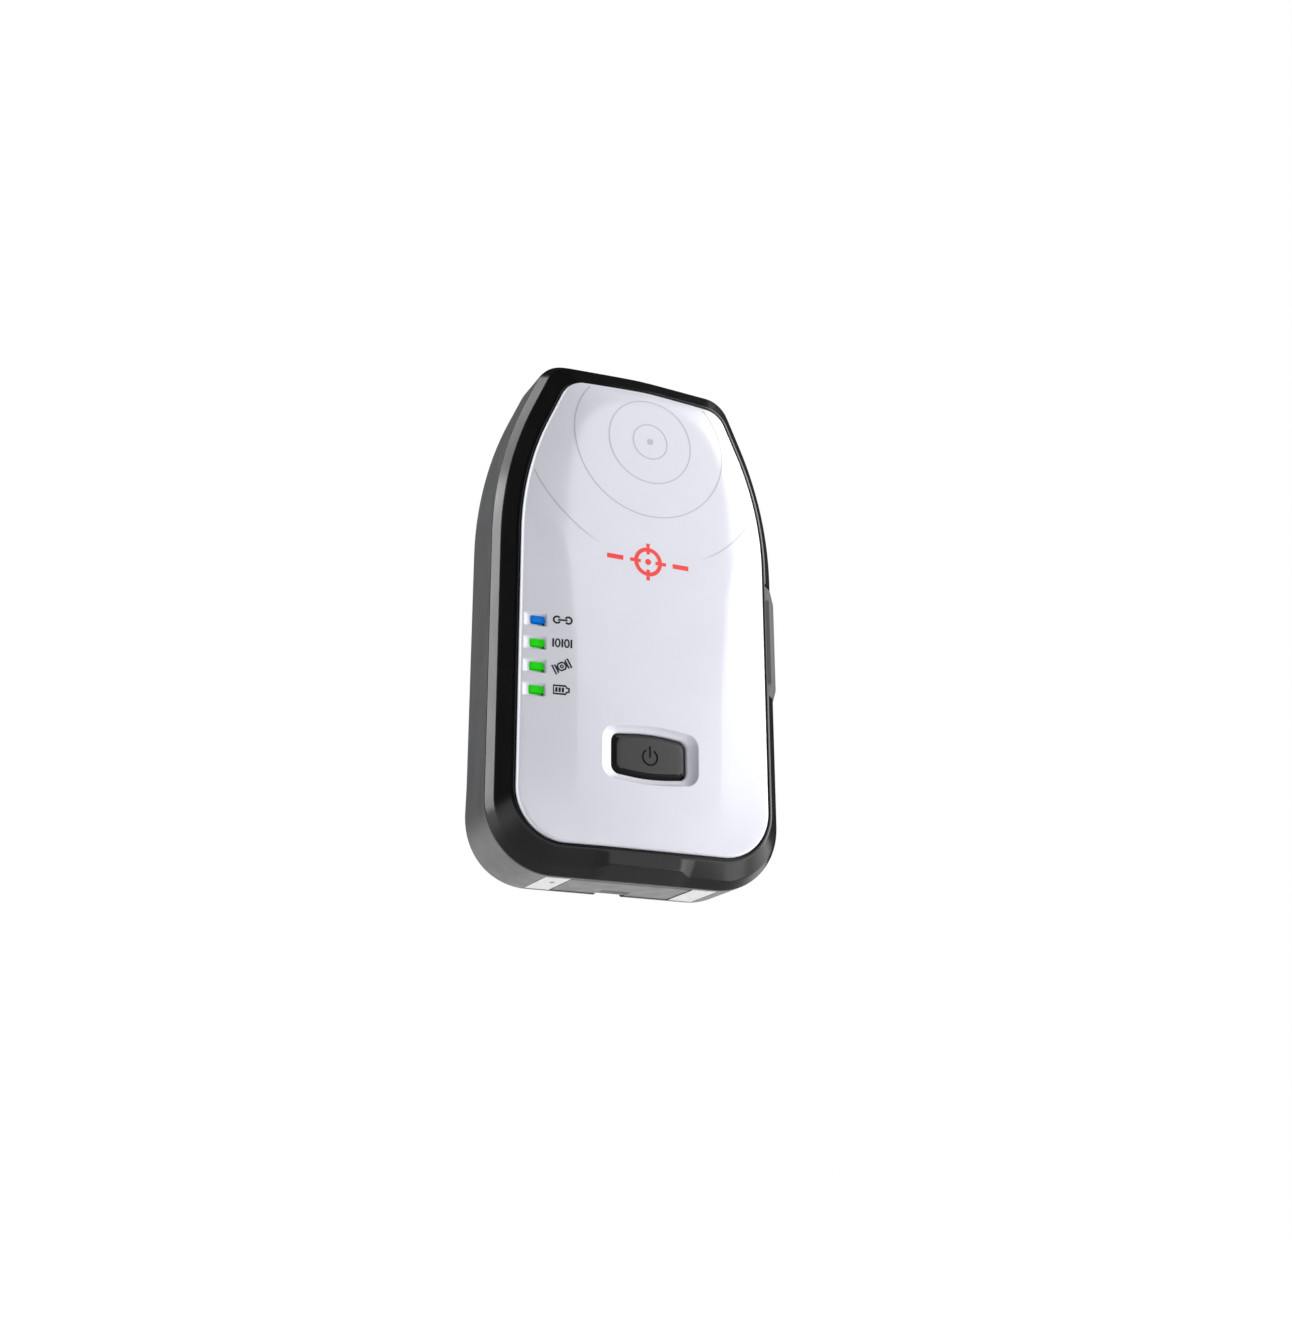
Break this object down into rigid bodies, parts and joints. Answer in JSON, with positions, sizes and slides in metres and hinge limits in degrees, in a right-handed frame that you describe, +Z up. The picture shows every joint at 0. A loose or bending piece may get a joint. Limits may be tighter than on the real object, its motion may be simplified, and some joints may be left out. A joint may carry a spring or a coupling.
{
  "type": "gnss receiver",
  "caption": "Pocket GNSS receiver: slim upright body, domed light front panel, dished power button, status lights, hinged port cover and battery door.",
  "frame": {"origin": "centre of the box's bottom, on the surface the unit stands on (its proud port cover puts the box's middle 0.5 mm to the right of the body's)", "axes": "+Z up along the body, the front panel faces -Y, the port cover is on the +X side"},
  "size_m": [0.0858, 0.0322, 0.1469],
  "materials": {
    "panel_white": "satin moulded plastic, light cool grey, fine texture",
    "frame_black": "black moulded plastic with a soft sheen",
    "housing_grey": "dark grey moulded plastic, fine grain",
    "button_grey": "dark grey matte key top",
    "seal_rubber": "dark grey elastomer, matte",
    "plate_steel": "satin plated metal",
    "screw_steel": "stainless steel",
    "brass": "turned brass",
    "board_green": "green solder mask",
    "shield_tin": "tin-plated sheet",
    "patch_ceramic": "sintered ceramic, stood in for by matte plastic",
    "battery_wrap": "blue shrink wrap",
    "tray_black": "black moulded plastic",
    "lens_blue": "blue translucent light window",
    "lens_green": "green translucent light window",
    "chip_white": "white light-emitting diode package",
    "chip_black": "black moulded component",
    "label_grey": "blank satin polyester film"
  },
  "bodies": {
    "body": {"amplifier_can": "shield_tin", "antenna_coax": "chip_black", "antenna_ground_plane": "board_green", "antenna_patch_lower": "patch_ceramic", "antenna_patch_upper": "patch_ceramic", "antenna_screw_1": "screw_steel", "antenna_screw_2": "screw_steel", "antenna_screw_3": "screw_steel", "antenna_screw_4": "screw_steel", "battery_contact_1": "brass", "battery_contact_2": "brass", "battery_contact_3": "brass", "battery_door_pin": "screw_steel", "battery_pack": "battery_wrap", "battery_tray": "tray_black", "bluetooth_module": "shield_tin", "board_screw_1": "screw_steel", "board_screw_2": "screw_steel", "board_screw_3": "screw_steel", "board_screw_4": "screw_steel", "bottom_plate_left": "plate_steel", "bottom_plate_right": "plate_steel", "button_seal": "seal_rubber", "buzzer": "chip_black", "case_screw_1": "screw_steel", "case_screw_2": "screw_steel", "case_screw_3": "screw_steel", "case_screw_4": "screw_steel", "coax_plug_antenna": "brass", "coax_plug_board": "brass", "front_frame": "frame_black", "front_panel": "panel_white", "gnss_module": "shield_tin", "housing_seal": "seal_rubber", "led_chip_1": "chip_white", "led_chip_2": "chip_white", "led_chip_3": "chip_white", "led_chip_4": "chip_white", "led_lens_1": "lens_blue", "led_lens_2": "lens_green", "led_lens_3": "lens_green", "led_lens_4": "lens_green", "light_shroud": "tray_black", "main_board": "board_green", "port_cover_pin": "screw_steel", "processor_can": "shield_tin", "rear_housing": "housing_grey", "rear_label": "label_grey", "tact_switch": "chip_black", "thread_insert": "brass", "usb_connector": "shield_tin", "vent_plug": "tray_black"},
    "power_button": {"power_button": "button_grey"},
    "port_cover": {"port_cover": "seal_rubber"},
    "battery_door": {"battery_door": "housing_grey", "battery_door_seal": "seal_rubber"}
  },
  "joints": [
    {"name": "power_button_press", "type": "slide", "parent": "body", "child": "power_button", "axis": [0, 1, 0], "range_m": [0, 0.001], "stiffness_N_per_m": 400},
    {"name": "port_cover_hinge", "type": "hinge", "parent": "body", "child": "port_cover", "pos_m": [0.0412, 0.0055, 0.071], "axis": [0, 0, 1], "range_deg": [0, 100]},
    {"name": "battery_door_hinge", "type": "hinge", "parent": "body", "child": "battery_door", "pos_m": [0, -0.0012, 0.002], "axis": [-1, 0, 0], "range_deg": [0, 90]}
  ]
}
